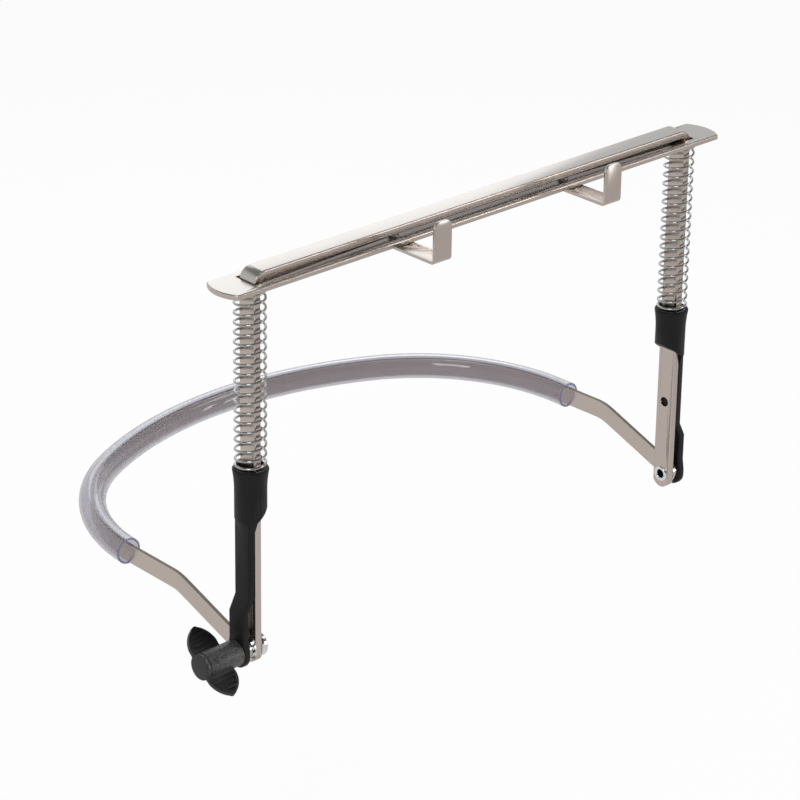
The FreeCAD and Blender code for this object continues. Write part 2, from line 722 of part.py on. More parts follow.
def make_knob_insert():
    """The brass thread in the knob, with one shallow groove that the moulding holds."""
    sleeve = ring_along_x(
        insert_diameter / 2, pivot_radius + running_clearance, hub_inner, insert_length)
    groove_width = insert_length / 6
    groove_depth = (insert_diameter - pivot_diameter) / 8
    groove = ring_along_x(
        insert_diameter, insert_diameter / 2 - groove_depth,
        hub_inner + (insert_length - groove_width) / 2, groove_width)
    return mirrored(sleeve.cut(groove))


def ring_centres():
    """Centres of the side arc and the back arc of the strap, and the angle where they meet."""
    side = ring_x - ring_side_radius
    drop = math.sqrt((ring_back_radius - ring_side_radius) ** 2 - side ** 2)
    meet = math.degrees(math.atan2(drop, side))
    return V(side, 0, 0), V(0, -drop, 0), meet


def sweep_ring(section_at, trim_right, trim_left):
    """Lead a section round the neck: side arc, back arc, side arc. Trims are in degrees."""
    side_centre, back_centre, meet = ring_centres()
    left_centre = V(-side_centre.x, side_centre.y, side_centre.z)
    stretches = [
        (side_centre, ring_side_radius, trim_right, meet),
        (back_centre, ring_back_radius, meet, 180 - meet),
        (left_centre, ring_side_radius, 180 - meet, 180 - trim_left)]
    pieces = []
    for centre, radius, start, end in stretches:
        out = V(math.cos(math.radians(start)), math.sin(math.radians(start)), 0)
        section = section_at(centre + out * radius, out)
        pieces.append(section.revolve(centre, Z_AXIS, end - start))
    return pieces


def strap_section(point, out):
    return rounded_section(point, out, Z_AXIS, strap_thickness, strap_width, strap_edge_radius)


def make_neck_strap():
    """The flat strap: a cranked end at each pivot and one bend round the neck."""
    pieces = sweep_ring(strap_section, 0, 0)
    right_side = make_strap_side()
    left_side = [mirrored(shape) for shape in right_side]
    return joined(pieces + right_side + left_side)


def make_strap_side():
    """One side of the strap: from the pivot up to an elbow, then level to the neck bend."""
    half = strap_width / 2
    slope = math.atan2(strap_rise, elbow_distance)
    back = elbow_radius * math.tan(slope / 2)
    along = V(0, math.cos(slope), math.sin(slope))
    over = V(0, -math.sin(slope), math.cos(slope))
    pivot = V(strap_inner, pivot_y, pivot_z)
    elbow = pivot + along * (elbow_distance / math.cos(slope))
    bend_start = elbow - along * back
    bend_end = elbow + V(0, back, 0)
    centre = bend_end - V(0, 0, elbow_radius)
    half_way = V(0, -math.sin(slope / 2), math.cos(slope / 2))
    upper = elbow_radius + half
    lower = elbow_radius - half
    up = V(0, 0, half)
    outline = Part.Wire([
        line(pivot + over * half, bend_start + over * half),
        arc(bend_start + over * half, centre + half_way * upper, bend_end + up),
        line(bend_end + up, bend_end - up),
        arc(bend_end - up, centre + half_way * lower, bend_start - over * half),
        line(bend_start - over * half, pivot - over * half),
        arc(pivot - over * half, pivot - along * half, pivot + over * half)])
    side = Part.Face(outline).extrude(V(strap_thickness, 0, 0))
    end_face_y = bend_end.y - strap_edge_radius
    side = rounded(side, strap_edge_radius, lambda edge: middle_of(edge).y < end_face_y
                   and edge.Length > strap_thickness * 2)
    side = side.cut(drill(pivot_radius + running_clearance, strap_inner - overrun,
                          strap_outer + overrun, 0, 0))
    elbow_face = strap_section(V(strap_x, bend_end.y, 0), X_AXIS)
    curve_face = strap_section(V(ring_x, 0, 0), X_AXIS)
    return [side, Part.makeLoft([elbow_face.OuterWire, curve_face.OuterWire], True, True)]


def tube_section(point, out):
    along = V(-out.y, out.x, 0)
    centre = point + V(0, 0, tube_lift)
    outer = Part.Wire(Part.makeCircle(tube_outer_diameter / 2, centre, along))
    inner = Part.Wire(Part.makeCircle(tube_inner_diameter / 2, centre, along))
    return Part.makeFace([outer, inner], "Part::FaceMakerBullseye")


def make_neck_tube():
    """The clear sleeve over the bent part of the strap, cut off by eye at each end."""
    trims = []
    straights = []
    for side, end in ((1, tube_right_end), (-1, tube_left_end)):
        past = end - strap_side_length
        trims.append(math.degrees(max(past, 0) / ring_side_radius))
        if past < 0:
            section = tube_section(V(side * ring_x, 0, 0), X_AXIS)
            straights.append(section.extrude(V(0, past, 0)))
    return joined(sweep_ring(tube_section, *trims) + straights)


def main():
    os.makedirs("parts", exist_ok=True)
    spring = make_spring()
    arm = make_arm()
    washer = make_washer()
    lock_washer = make_lock_washer()
    hook_x = hook_spacing / 2
    nodes = {
        "top_bar": make_top_bar(),
        "clamp_plate": make_clamp_plate(),
        "left_hook": make_hook(-hook_x),
        "right_hook": make_hook(hook_x),
        "left_hook_rivet": make_rivet(-hook_x),
        "right_hook_rivet": make_rivet(hook_x),
        "left_spring": spring.translated(V(-leg_spacing, 0, 0)),
        "right_spring": spring,
        "left_arm": mirrored(arm),
        "right_arm": arm,
        "left_pivot_bolt": mirrored(make_pivot_bolt()),
        "right_pivot_rivet": make_right_rivet(),
        "left_washer": mirrored(washer),
        "right_washer": washer,
        "left_lock_washer": mirrored(lock_washer),
        "right_lock_washer": lock_washer,
        "wing_knob": make_wing_knob(),
        "knob_insert": make_knob_insert(),
        "neck_strap": make_neck_strap(),
        "neck_tube": make_neck_tube(),
    }
    for name, shape in nodes.items():
        print("%-18s solids %d  valid %s  volume %.1f" % (
            name, len(shape.Solids), shape.isValid(), shape.Volume))
        shape.exportStep("parts/%s.step" % name)


main()
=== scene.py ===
# %% [markdown]
# # A neck-worn harmonica holder
# The holder is a bent flat bar, a sprung plate below it, two springs, two black moulded arms and a
# steel strap that goes round the neck inside a clear tube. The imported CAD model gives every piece
# its place and its body. This lesson gives each piece its real surface: the pressed, turned and
# moulded pieces are softened copies of the CAD meshes, and the springs and the tube are modelled
# anew, because their roundness is what the eye looks for.

# %% Load the frame
import json
import math

import bpy
from mathutils import Euler, Matrix, Vector

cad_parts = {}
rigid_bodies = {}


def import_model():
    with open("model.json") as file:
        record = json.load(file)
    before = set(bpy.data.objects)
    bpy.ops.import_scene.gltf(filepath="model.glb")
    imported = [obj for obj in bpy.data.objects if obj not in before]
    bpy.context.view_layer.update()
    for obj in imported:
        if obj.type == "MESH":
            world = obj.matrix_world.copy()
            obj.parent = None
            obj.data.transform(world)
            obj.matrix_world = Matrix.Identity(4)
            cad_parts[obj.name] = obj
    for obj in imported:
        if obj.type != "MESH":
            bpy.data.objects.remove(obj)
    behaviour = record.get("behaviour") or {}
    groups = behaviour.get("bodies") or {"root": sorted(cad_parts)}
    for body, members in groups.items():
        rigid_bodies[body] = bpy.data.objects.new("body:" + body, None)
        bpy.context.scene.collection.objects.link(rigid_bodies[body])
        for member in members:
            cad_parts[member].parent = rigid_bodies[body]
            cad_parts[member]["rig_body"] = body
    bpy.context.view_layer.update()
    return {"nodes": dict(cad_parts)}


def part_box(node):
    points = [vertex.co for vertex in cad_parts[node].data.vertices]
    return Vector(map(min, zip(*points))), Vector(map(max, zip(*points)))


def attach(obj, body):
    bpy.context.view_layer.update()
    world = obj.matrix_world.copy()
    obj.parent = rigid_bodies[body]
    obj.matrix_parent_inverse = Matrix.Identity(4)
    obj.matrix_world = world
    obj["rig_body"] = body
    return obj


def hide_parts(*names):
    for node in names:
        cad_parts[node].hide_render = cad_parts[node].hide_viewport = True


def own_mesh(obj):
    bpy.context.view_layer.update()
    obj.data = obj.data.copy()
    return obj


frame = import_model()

# %% [markdown]
# Sizes are written in millimetres, because that is how such a product is drawn. One helper turns
# them into Blender's metres, and one turns a hex colour into the linear values that the nodes need.

# %% Units and colours
def mm(*values):
    """One length in metres, or a place as a vector in metres."""
    scaled = [value * 0.001 for value in values]
    return scaled[0] if len(scaled) == 1 else Vector(scaled)


def linear(hex_colour):
    """An sRGB hex colour as linear red, green, blue and alpha."""
    channels = [int(hex_colour[i:i + 2], 16) / 255 for i in (1, 3, 5)]
    return [c / 12.92 if c <= 0.04045 else ((c + 0.055) / 1.055) ** 2.4 for c in channels] + [1.0]


# %% [markdown]
# A material is a small graph. One helper adds any node, sets its settings and makes its links, so
# that each finish below reads as a short recipe. The patterns lie in Object coordinates, which stay
# with a piece when it moves, and their scale comes from a width in millimetres.

# %% One helper for nodes
def add_node(tree, kind, settings=None, **inputs):
    """Add a node. Settings are its own properties, inputs are socket names with values or links.

    An input that starts with an underscore is a socket's number.
    """
    node = tree.nodes.new(kind)
    for name, value in (settings or {}).items():
        setattr(node, name, value)
    for name, value in inputs.items():
        key = int(name[1:]) if name[0] == "_" else name.replace("_", " ")
        socket = node.inputs[key]
        if isinstance(value, bpy.types.NodeSocket):
            tree.links.new(value, socket)
        else:
            socket.default_value = value
    return node


def new_material(name):
    """An empty material and its tree."""
    material = bpy.data.materials.new(name)
    material.use_nodes = True
    material.node_tree.nodes.clear()
    return material, material.node_tree


def per_mm(size):
    """The texture scale that makes a pattern's features about this many millimetres wide."""
    return 1 / mm(size)


# %% [markdown]
# The photograph was taken from high on the left with a long lens, so the bar keeps nearly the same
# thickness from end to end. The place, the lens and the small roll come from matching the corners
# of the bar, the legs and the neck ring with the picture.

# %% Camera
LENS = 154.2
CAMERA_PLACE = mm(-789.5, -855.9, 561.2)
AZIMUTH, ELEVATION, ROLL = math.radians(-43.42), math.radians(24.55), math.radians(0.86)

camera_data = bpy.data.cameras.new("product_camera")
camera_data.lens = LENS
camera_data.sensor_width = 36
camera_data.clip_start = 0.05
camera_data.clip_end = 30

camera = bpy.data.objects.new("product_camera", camera_data)
bpy.context.scene.collection.objects.link(camera)
aim = Euler((math.pi / 2 - ELEVATION, 0, AZIMUTH)).to_matrix() @ Matrix.Rotation(ROLL, 3, "Z")
camera.location = CAMERA_PLACE
camera.rotation_euler = aim.to_euler()
bpy.context.scene.camera = camera
bpy.context.scene.view_settings.view_transform = "Standard"
print("lens %.1f mm, %.2f m from the neck ring" % (camera_data.lens, camera.location.length))

# %% [markdown]
# A product shot on white is lit by its surroundings more than by lamps. Polished steel only shows
# what stands round it. So the studio has a bright band from the horizon to a third of the way up
# and a dark ceiling above it, with a pale sheet right overhead for the views from above. The band
# ends lower in front, where the ceiling is darkest. The bar's top then mirrors the band, while its
# front edge, the bends and the slit above the plate go dark, as they do in the picture. One even
# white sky would be simpler, but it leaves steel without any shape. Matt pieces get an even light,
# and the camera and the clear tube see plain white.

# %% World
BAND, OVERHEAD, EVEN_LIGHT = 0.76, 0.62, 0.75
CEILING_FRONT, CEILING_BACK = 0.06, 0.22
BAND_TILT = (0.0, -0.25, 1.0)
PLAIN_WHITE, COOL_WHITE = linear("#ffffff"), linear("#f3faff")
SMOOTH = {"interpolation_type": "SMOOTHSTEP"}

world = bpy.data.worlds.new("studio")
bpy.context.scene.world = world
world.use_nodes = True
sky = world.node_tree
sky.nodes.clear()

rays = add_node(sky, "ShaderNodeLightPath")
direction = add_node(sky, "ShaderNodeTexCoord").outputs["Generated"]
heading = add_node(sky, "ShaderNodeSeparateXYZ", Vector=direction)
tilted_height = add_node(sky, "ShaderNodeVectorMath", {"operation": "DOT_PRODUCT"},
                         _0=direction, _1=BAND_TILT)

# The ceiling gets paler from front to back. The walls are the band and, above it, the ceiling.
ceiling = add_node(sky, "ShaderNodeMapRange", SMOOTH, Value=heading.outputs["Y"],
                   From_Min=-0.5, From_Max=0.6, To_Min=CEILING_FRONT, To_Max=CEILING_BACK)
walls = add_node(sky, "ShaderNodeMapRange", SMOOTH, Value=tilted_height.outputs["Value"],
                 From_Min=0.34, From_Max=0.46, To_Min=BAND, To_Max=ceiling.outputs[0])
whole = add_node(sky, "ShaderNodeMapRange", SMOOTH, Value=heading.outputs["Z"],
                 From_Min=0.87, From_Max=0.94, To_Min=walls.outputs[0], To_Max=OVERHEAD)

studio = add_node(sky, "ShaderNodeBackground", Color=COOL_WHITE, Strength=whole.outputs[0])
even = add_node(sky, "ShaderNodeBackground", Color=PLAIN_WHITE, Strength=EVEN_LIGHT)
white = add_node(sky, "ShaderNodeBackground", Color=PLAIN_WHITE, Strength=1.0)
lit = add_node(sky, "ShaderNodeMixShader", _0=rays.outputs["Is Diffuse Ray"],
               _1=studio.outputs[0], _2=even.outputs[0])
seen = add_node(sky, "ShaderNodeMath", {"operation": "MAXIMUM"},
                _0=rays.outputs["Is Camera Ray"], _1=rays.outputs["Is Transmission Ray"])
shown = add_node(sky, "ShaderNodeMixShader", _0=seen.outputs[0],
                 _1=lit.outputs[0], _2=white.outputs[0])
add_node(sky, "ShaderNodeOutputWorld", Surface=shown.outputs[0])
print("studio nodes:", len(sky.nodes))

# %% [markdown]
# Four softboxes do the rest. The weak one at the back right is what the bar's top mirrors on its
# left half, where the photograph is nearly white. The one at the front left draws a soft sheen down
# the black sleeves and the knob, and the small white sparks on the spring wire. The low one at the
# front right draws the bright line along the bar's front edge and lights the knob's wings from the
# side, and the small one high on the right picks out the ridges of the knob. A sun lamp would give
# one hard spark to each edge instead, where the picture has long soft lines.

# %% Lamps
BAR_LEFT_END = mm(-105, -59, 125)


def softbox(name, place, size, radiance, colour):
    """A square lamp that faces the bar's left end. At radiance 1 it is as bright as the white."""
    data = bpy.data.lights.new(name, "AREA")
    data.shape = "SQUARE"
    data.size = mm(size)
    data.energy = radiance * math.pi * data.size ** 2
    data.color = colour[:3]
    lamp = bpy.data.objects.new(name, data)
    bpy.context.scene.collection.objects.link(lamp)
    lamp.location = place
    lamp.rotation_euler = (BAR_LEFT_END - place).to_track_quat("-Z", "Y").to_euler()
    lamp.visible_camera = False
    print(name, "%d mm wide, radiance %.2f" % (size, radiance))


softbox("back_softbox", mm(445, 680, 510), size=520, radiance=0.95, colour=COOL_WHITE)
softbox("front_softbox", mm(-900, -500, 900), size=500, radiance=4.5, colour=PLAIN_WHITE)
softbox("low_softbox", mm(1000, -1300, 240), size=500, radiance=4.0, colour=PLAIN_WHITE)
softbox("top_softbox", mm(812, -507, 971), size=350, radiance=2.5, colour=PLAIN_WHITE)

# %% [markdown]
# The floor is white paper. For the camera and through the clear tube it is nearly white by its own
# glow, with enough of a plain matt surface left in it to hold the holder's faint shadow. Stronger
# lamps would make plain paper as white, but they would bleach the holder too. The steel mirrors the
# floor as a softer grey that fades to the front right.

# %% Paper for the floor
GLOW, GLOW_SHARE = 1.02, 0.8
FRONT_RIGHT = (0.69, -0.72, 0.0)
MIRRORED_NEAR, MIRRORED_FAR = 0.69, 0.53


def pale_floor_material():
    """White paper for the camera, and a grey that fades to the front right for the steel."""
    material, tree = new_material("pale_paper_sweep")
    rays = add_node(tree, "ShaderNodeLightPath")
    seen = add_node(tree, "ShaderNodeMath", {"operation": "MAXIMUM"},
                    _0=rays.outputs["Is Camera Ray"], _1=rays.outputs["Is Transmission Ray"])
    share = add_node(tree, "ShaderNodeMath", {"operation": "MULTIPLY"},
                     _0=seen.outputs[0], _1=GLOW_SHARE)
    paper = add_node(tree, "ShaderNodeBsdfDiffuse", Color=linear("#f4f4f4"))
    glow = add_node(tree, "ShaderNodeEmission", Color=PLAIN_WHITE, Strength=GLOW)
    shown = add_node(tree, "ShaderNodeMixShader", _0=share.outputs[0],
                     _1=paper.outputs[0], _2=glow.outputs[0])
    place = add_node(tree, "ShaderNodeTexCoord")
    forward = add_node(tree, "ShaderNodeVectorMath", {"operation": "DOT_PRODUCT"},
                       _0=place.outputs["Object"], _1=FRONT_RIGHT)
    grey = add_node(tree, "ShaderNodeMapRange", SMOOTH, Value=forward.outputs["Value"],
                    From_Min=0.04, From_Max=0.94, To_Min=MIRRORED_NEAR, To_Max=MIRRORED_FAR)
    mirrored = add_node(tree, "ShaderNodeEmission", Color=linear("#fffdfb"),
                        Strength=grey.outputs[0])
    mixed = add_node(tree, "ShaderNodeMixShader", _0=rays.outputs["Is Glossy Ray"],
                     _1=shown.outputs[0], _2=mirrored.outputs[0])
    add_node(tree, "ShaderNodeOutputMaterial", Surface=mixed.outputs[0])
    return material


# %% [markdown]
# The holder is worn, so it doesn't stand on anything, and its frame can swing right down under the
# neck ring, 153 mm from the pivots. So the floor is one wide plane just below that swing.

# %% Floor
FLOOR_HEIGHT = -170
FLOOR_METRES = 12

bpy.ops.object.select_all(action="DESELECT")
bpy.ops.mesh.primitive_plane_add(size=FLOOR_METRES, location=mm(0, 0, FLOOR_HEIGHT))
floor = bpy.context.active_object
floor.name = "pale_floor"
floor.data.materials.append(pale_floor_material())
print("floor height, mm: %.1f" % (floor.location.z * 1000))

# %% [markdown]
# The bar, plate, hooks and strap are mild steel with a satin nickel plate: warm grey, softly
# reflecting, with a very fine grain from the tumbling before plating. The real grain is under
# 0.1 mm, too fine to see from here, so it is drawn at 0.35 mm. Broad soft clouds of tint, about
# 14 mm wide, stand for the uneven thickness of the plate. A brushed finish would draw long streaks,
# which the picture doesn't show. Where a strip was sheared, its edge is rougher, so it mirrors
# nothing, and its colour is painted darker too: a painted shade that makes it a plain darker line.

# %% Satin nickel
NICKEL_GRAIN, NICKEL_CLOUDS = 0.35, 14
THIN_PLATE = 0.93                      # the share of the colour left where the plate is thin


def satin_nickel(name, colour, roughness):
    """Nickel-plated steel with a fine grain and soft clouds of tint."""
    material, tree = new_material(name)
    place = add_node(tree, "ShaderNodeTexCoord")
    grain = add_node(tree, "ShaderNodeTexNoise", Vector=place.outputs["Object"],
                     Scale=per_mm(NICKEL_GRAIN), Detail=3.0, Roughness=0.6)
    clouds = add_node(tree, "ShaderNodeTexNoise", Vector=place.outputs["Object"],
                      Scale=per_mm(NICKEL_CLOUDS), Detail=2.0)
    full = linear(colour)
    thin = [channel * THIN_PLATE for channel in full[:3]] + [1.0]
    tint = add_node(tree, "ShaderNodeMix", {"data_type": "RGBA"}, _0=clouds.outputs["Fac"],
                    _6=full, _7=thin)
    gloss = add_node(tree, "ShaderNodeMapRange", Value=grain.outputs["Fac"],
                     To_Min=roughness - 0.04, To_Max=roughness + 0.05)
    bump = add_node(tree, "ShaderNodeBump", Strength=0.07, Distance=mm(0.02),
                    Height=grain.outputs["Fac"])
    shader = add_node(tree, "ShaderNodeBsdfPrincipled", Base_Color=tint.outputs[2], Metallic=1.0,
                      Roughness=gloss.outputs[0], Normal=bump.outputs["Normal"])
    add_node(tree, "ShaderNodeOutputMaterial", Surface=shader.outputs[0])
    return material


nickel = satin_nickel("satin_nickel_plated_steel", "#d3c8c0", roughness=0.24)
# Painted shade: the sheared edges are a darker nickel than the faces, as well as rougher.
sheared_edge_and_shade = satin_nickel("rough_strip_edge_painted_shade", "#b5aaa0", roughness=0.75)
print("nickel finishes:", nickel.name, sheared_edge_and_shade.name)

# %% [markdown]
# The bolt, the rivets and the washers are turned or stamped steel with a bright zinc plate, which
# gives a cool white mirror under a thin haze. The haze comes in patches of about 0.8 mm, which just
# show. The tubular rivet's bore is painted a dark blue-grey: painted shade in its hollow.
# The spring wire is drawn through a die before it is plated, so it is the smoothest metal here and
# shows small sharp sparks. The thread insert in the knob is turned brass. All are one recipe with
# other colours and another polish, because only the mirror differs.

# %% Bright zinc, spring wire and brass
HAZE_PATCH = 0.8


def bright_plate(name, colour, roughness):
    """A plated or turned metal whose polish varies a little from patch to patch."""
    material, tree = new_material(name)
    place = add_node(tree, "ShaderNodeTexCoord")
    haze = add_node(tree, "ShaderNodeTexNoise", Vector=place.outputs["Object"],
                    Scale=per_mm(HAZE_PATCH), Detail=2.0)
    gloss = add_node(tree, "ShaderNodeMapRange", Value=haze.outputs["Fac"],
                     To_Min=roughness * 0.7, To_Max=roughness * 1.3)
    shader = add_node(tree, "ShaderNodeBsdfPrincipled", Base_Color=linear(colour), Metallic=1.0,
                      Roughness=gloss.outputs[0])
    add_node(tree, "ShaderNodeOutputMaterial", Surface=shader.outputs[0])
    return material


zinc = bright_plate("bright_zinc_plated_steel", "#eef1f3", roughness=0.2)
# Painted shade: the rivet's bore is painted dark blue-grey, where shade falls inside it.
bore = bright_plate("rivet_bore_painted_shade", "#4c6e72", roughness=0.45)
wire = bright_plate("nickel_plated_spring_wire", "#bab9b7", roughness=0.12)
brass = bright_plate("turned_brass", "#d9b36a", roughness=0.25)
print("bright metals:", zinc.name, bore.name, wire.name, brass.name)

# %% [markdown]
# The arms are moulded nylon and the knob is moulded ABS. A mould is spark-eroded to a grain of
# about 0.1 mm, which makes the black matt. That is too fine to show from here, so it is drawn at
# 0.4 mm on the arms and 0.5 mm on the coarser knob. The peaks of the grain wear to a slightly paler
# black. The round hub of the knob is painted a paler black with speckled grey peaks, drawn at
# 0.7 mm: a painted sheen for the light that the hub catches. A plain black would swallow the ribs
# and ridges, and this bloom lets them show.

# %% Black mouldings
def black_moulding(name, colour, peak_wear_and_sheen, roughness, shine, grain_mm, depth_mm):
    """Moulded plastic with the mould's grain and paler peaks: wear, and on the hub a painted sheen.
    """
    material, tree = new_material(name)
    place = add_node(tree, "ShaderNodeTexCoord")
    grain = add_node(tree, "ShaderNodeTexNoise", Vector=place.outputs["Object"],
                     Scale=per_mm(grain_mm), Detail=4.0)
    gloss = add_node(tree, "ShaderNodeMapRange", Value=grain.outputs["Fac"],
                     To_Min=roughness - 0.05, To_Max=roughness + 0.08)
    bump = add_node(tree, "ShaderNodeBump", Strength=0.3, Distance=mm(depth_mm),
                    Height=grain.outputs["Fac"])
    peaks = add_node(tree, "ShaderNodeMapRange", SMOOTH, Value=grain.outputs["Fac"],
                     From_Min=0.3, From_Max=0.7, To_Min=0.0, To_Max=1.0)
    tint = add_node(tree, "ShaderNodeMix", {"data_type": "RGBA"}, _0=peaks.outputs[0],
                    _6=linear(colour), _7=linear(peak_wear_and_sheen))
    shader = add_node(tree, "ShaderNodeBsdfPrincipled", Base_Color=tint.outputs[2],
                      Roughness=gloss.outputs[0], Normal=bump.outputs["Normal"],
                      IOR=1.5, Specular_IOR_Level=shine)
    add_node(tree, "ShaderNodeOutputMaterial", Surface=shader.outputs[0])
    return material


arm_black = black_moulding("black_moulded_nylon", "#0c0a0b", "#121011",
                           roughness=0.46, shine=0.28, grain_mm=0.4, depth_mm=0.04)
knob_black = black_moulding("black_moulded_abs", "#0a090a", "#121112",
                            roughness=0.36, shine=0.6, grain_mm=0.5, depth_mm=0.12)
# Painted sheen: the hub's paler black and grey grain peaks stand for the light it catches.
hub_painted_sheen = black_moulding("black_abs_hub_painted_sheen", "#232222", "#4f4d4e",
                          roughness=0.42, shine=0.7, grain_mm=0.7, depth_mm=0.08)
print("mouldings:", arm_black.name, knob_black.name, hub_painted_sheen.name)

# %% [markdown]
# The tube is clear soft vinyl, extruded as plain hose. The eye gets a bright line along each edge
# and a cool grey veil over the steel inside. A mix with a transparent shader could fake the veil,
# but a real wall that bends the light draws the lines by itself, from any side. The cut ends are
# sawn rough, and the light that runs along inside the wall and comes out there is painted into
# their colour as a dull blue: a painted glow.

# %% Clear vinyl
def plain_plastic(name, colour, roughness, ior, transmission=0.0):
    """Plastic without a pattern, clear or solid."""
    material, tree = new_material(name)
    shader = add_node(tree, "ShaderNodeBsdfPrincipled", Base_Color=linear(colour),
                      Roughness=roughness, IOR=ior, Transmission_Weight=transmission)
    add_node(tree, "ShaderNodeOutputMaterial", Surface=shader.outputs[0])
    return material


vinyl = plain_plastic("clear_soft_vinyl", "#dedde4", roughness=0.04, ior=1.45, transmission=0.98)
# Painted glow: the ends are painted the dull blue of the light that leaves the wall there.
cut_end = plain_plastic("vinyl_end_painted_glow", "#7c7ea6", roughness=0.45, ior=1.5)
print("tube finishes:", vinyl.name, cut_end.name)

# %% [markdown]
# The pressed, turned and moulded pieces already have their true shapes in the CAD model. They could
# be modelled once more, but a copy of the CAD mesh keeps every hole and corner in its place. Its
# loose triangles are merged, so that round faces can be shaded smooth. Where an edge is sharp in
# the CAD but rubbed or tumbled round on the real piece, a small bevel gives it a line that catches
# the light, as no perfectly sharp edge does. Each copy rides on its node's body and hides the node.

# %% A smooth copy of a CAD piece
SAME_PLACE = 0.002                     # triangles' corners this near, in mm, are one corner
SAME_PLANE = math.radians(0.5)         # and faces this flat to each other are one face


def merge_corners(piece, join_flat_faces):
    """Merge a mesh's loose triangles, and join the flat ones before an edge gets its bevel."""
    bpy.ops.object.select_all(action="DESELECT")
    piece.select_set(True)
    bpy.context.view_layer.objects.active = piece
    bpy.ops.object.mode_set(mode="EDIT")
    bpy.ops.mesh.select_all(action="SELECT")
    bpy.ops.mesh.remove_doubles(threshold=mm(SAME_PLACE))
    if join_flat_faces:
        bpy.ops.mesh.dissolve_limited(angle_limit=SAME_PLANE)
    bpy.ops.object.mode_set(mode="OBJECT")


def wear_edges(piece, width, crisp):
    """Round off every edge that is sharper than the crease angle."""
    bevel = piece.modifiers.new("worn_edges", "BEVEL")
    bevel.width = mm(width)
    bevel.segments = 2
    bevel.limit_method = "ANGLE"
    bevel.angle_limit = math.radians(crisp)
    bpy.ops.object.modifier_apply(modifier=bevel.name)


def dressed(node, name, material, crisp=30, edge=0.0):
    """A smooth copy of a node, with creases kept above an angle and edges worn by a width in mm."""
    source = frame["nodes"][node]
    mesh = source.data.copy()
    mesh.materials.clear()
    mesh.materials.append(material)
    piece = bpy.data.objects.new(name, mesh)
    bpy.context.scene.collection.objects.link(piece)
    merge_corners(piece, join_flat_faces=edge > 0)
    if edge:
        wear_edges(piece, edge, crisp)
    bpy.ops.object.shade_smooth_by_angle(angle=math.radians(crisp))
    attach(piece, source["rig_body"])
    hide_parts(node)
    print(name, "faces", len(mesh.polygons))
    return piece


# %% [markdown]
# Most pieces need nothing more than that copy. A crease stays sharp above 30 degrees, and the domed
# rivets take a wider angle, because their domes have few faces.

# %% Bar, plate, arms and small fasteners
dressed("top_bar", "bar_and_legs", nickel)
dressed("clamp_plate", "sprung_plate", nickel)
dressed("left_arm", "arm_left", arm_black)
dressed("right_arm", "arm_right", arm_black)
dressed("left_hook_rivet", "hook_rivet_left", zinc, crisp=40)
dressed("right_hook_rivet", "hook_rivet_right", zinc, crisp=40)
dressed("left_washer", "washer_left", zinc)
dressed("right_washer", "washer_right", zinc)
dressed("left_lock_washer", "split_washer_left", zinc)
dressed("right_lock_washer", "split_washer_right", zinc)
dressed("knob_insert", "thread_insert", brass)

# %% [markdown]
# The hooks are small strips that were sheared, bent and tumbled, so their edges are rubbed by
# 0.2 mm. The knob's edges are as round as its mould was cut, and the bolt's head is turned with a
# fine chamfer.

# %% Hooks, knob and bolt with worn edges
dressed("left_hook", "hook_left", nickel, edge=0.2)
dressed("right_hook", "hook_right", nickel, edge=0.2)
knob = dressed("wing_knob", "knob_with_wings", knob_black, crisp=35, edge=0.28)
dressed("left_pivot_bolt", "bolt_left", zinc, edge=0.15)

# %% [markdown]
# Three pieces show two finishes at once. The strap is cut from a nickelled strip, so its long edges
# are sheared steel, rougher than its faces and painted darker: painted shade. The rivet's bore is
# painted shade in dark blue-grey, and the knob's hub is painted with a grey sheen. Each could be
# split in two objects, but one piece with a second material on some of its faces stays one piece,
# as the real one is.

# %% Second finishes
def repaint(piece, material, belongs):
    """Give a second material to the faces whose centre and normal pass the test."""
    piece.data.materials.append(material)
    chosen = [face for face in piece.data.polygons if belongs(face.center, face.normal)]
    for face in chosen:
        face.material_index = 1
    print(piece.name, "faces of", material.name, len(chosen))


strap = dressed("neck_strap", "strap_round_neck", nickel)
# The strap's long edges get the rougher finish and its painted shade.
repaint(strap, sheared_edge_and_shade, lambda centre, normal: abs(normal.z) > 0.7)

# %% [markdown]
# The bore and the hub are both round, with the pivot axis in their middle, so their faces are found
# by their distance from it.

# %% Bore and hub
PIVOT_Y, PIVOT_Z = -59.2, -13.0
BORE_REACH, BORE_END_X = 1.65, 111.5
HUB_REACH = 4.9


def from_pivot(point):
    """The distance of a point from the pivot axis, in millimetres."""
    return math.hypot(point.y - mm(PIVOT_Y), point.z - mm(PIVOT_Z)) * 1000


rivet = dressed("right_pivot_rivet", "rivet_right", zinc)
# The faces inside the bore get the painted shade.
repaint(rivet, bore,
        lambda centre, normal: from_pivot(centre) < BORE_REACH and centre.x < mm(BORE_END_X))
# The hub's faces get the painted sheen.
repaint(knob, hub_painted_sheen,
        lambda centre, normal: from_pivot(centre) < HUB_REACH and abs(normal.x) < 0.5)

# %% [markdown]
# The springs are compression springs of 0.9 mm wire. The CAD has them with few faces, so they are
# wound anew, because a round wire is what makes the sparks. A ring stands upright at the coil's
# radius and is led round and up, as a coiling machine does it: one close turn, the open turns, and
# a close turn on top. A curve with a bevel would do as well, but the screw modifier takes the pitch
# as a number, so the turns stand where the CAD's do.

# %% A stretch of spring wire
WIRE_RADIUS = 0.45
WIRE_SIDES = 12
STEPS_PER_TURN = 32


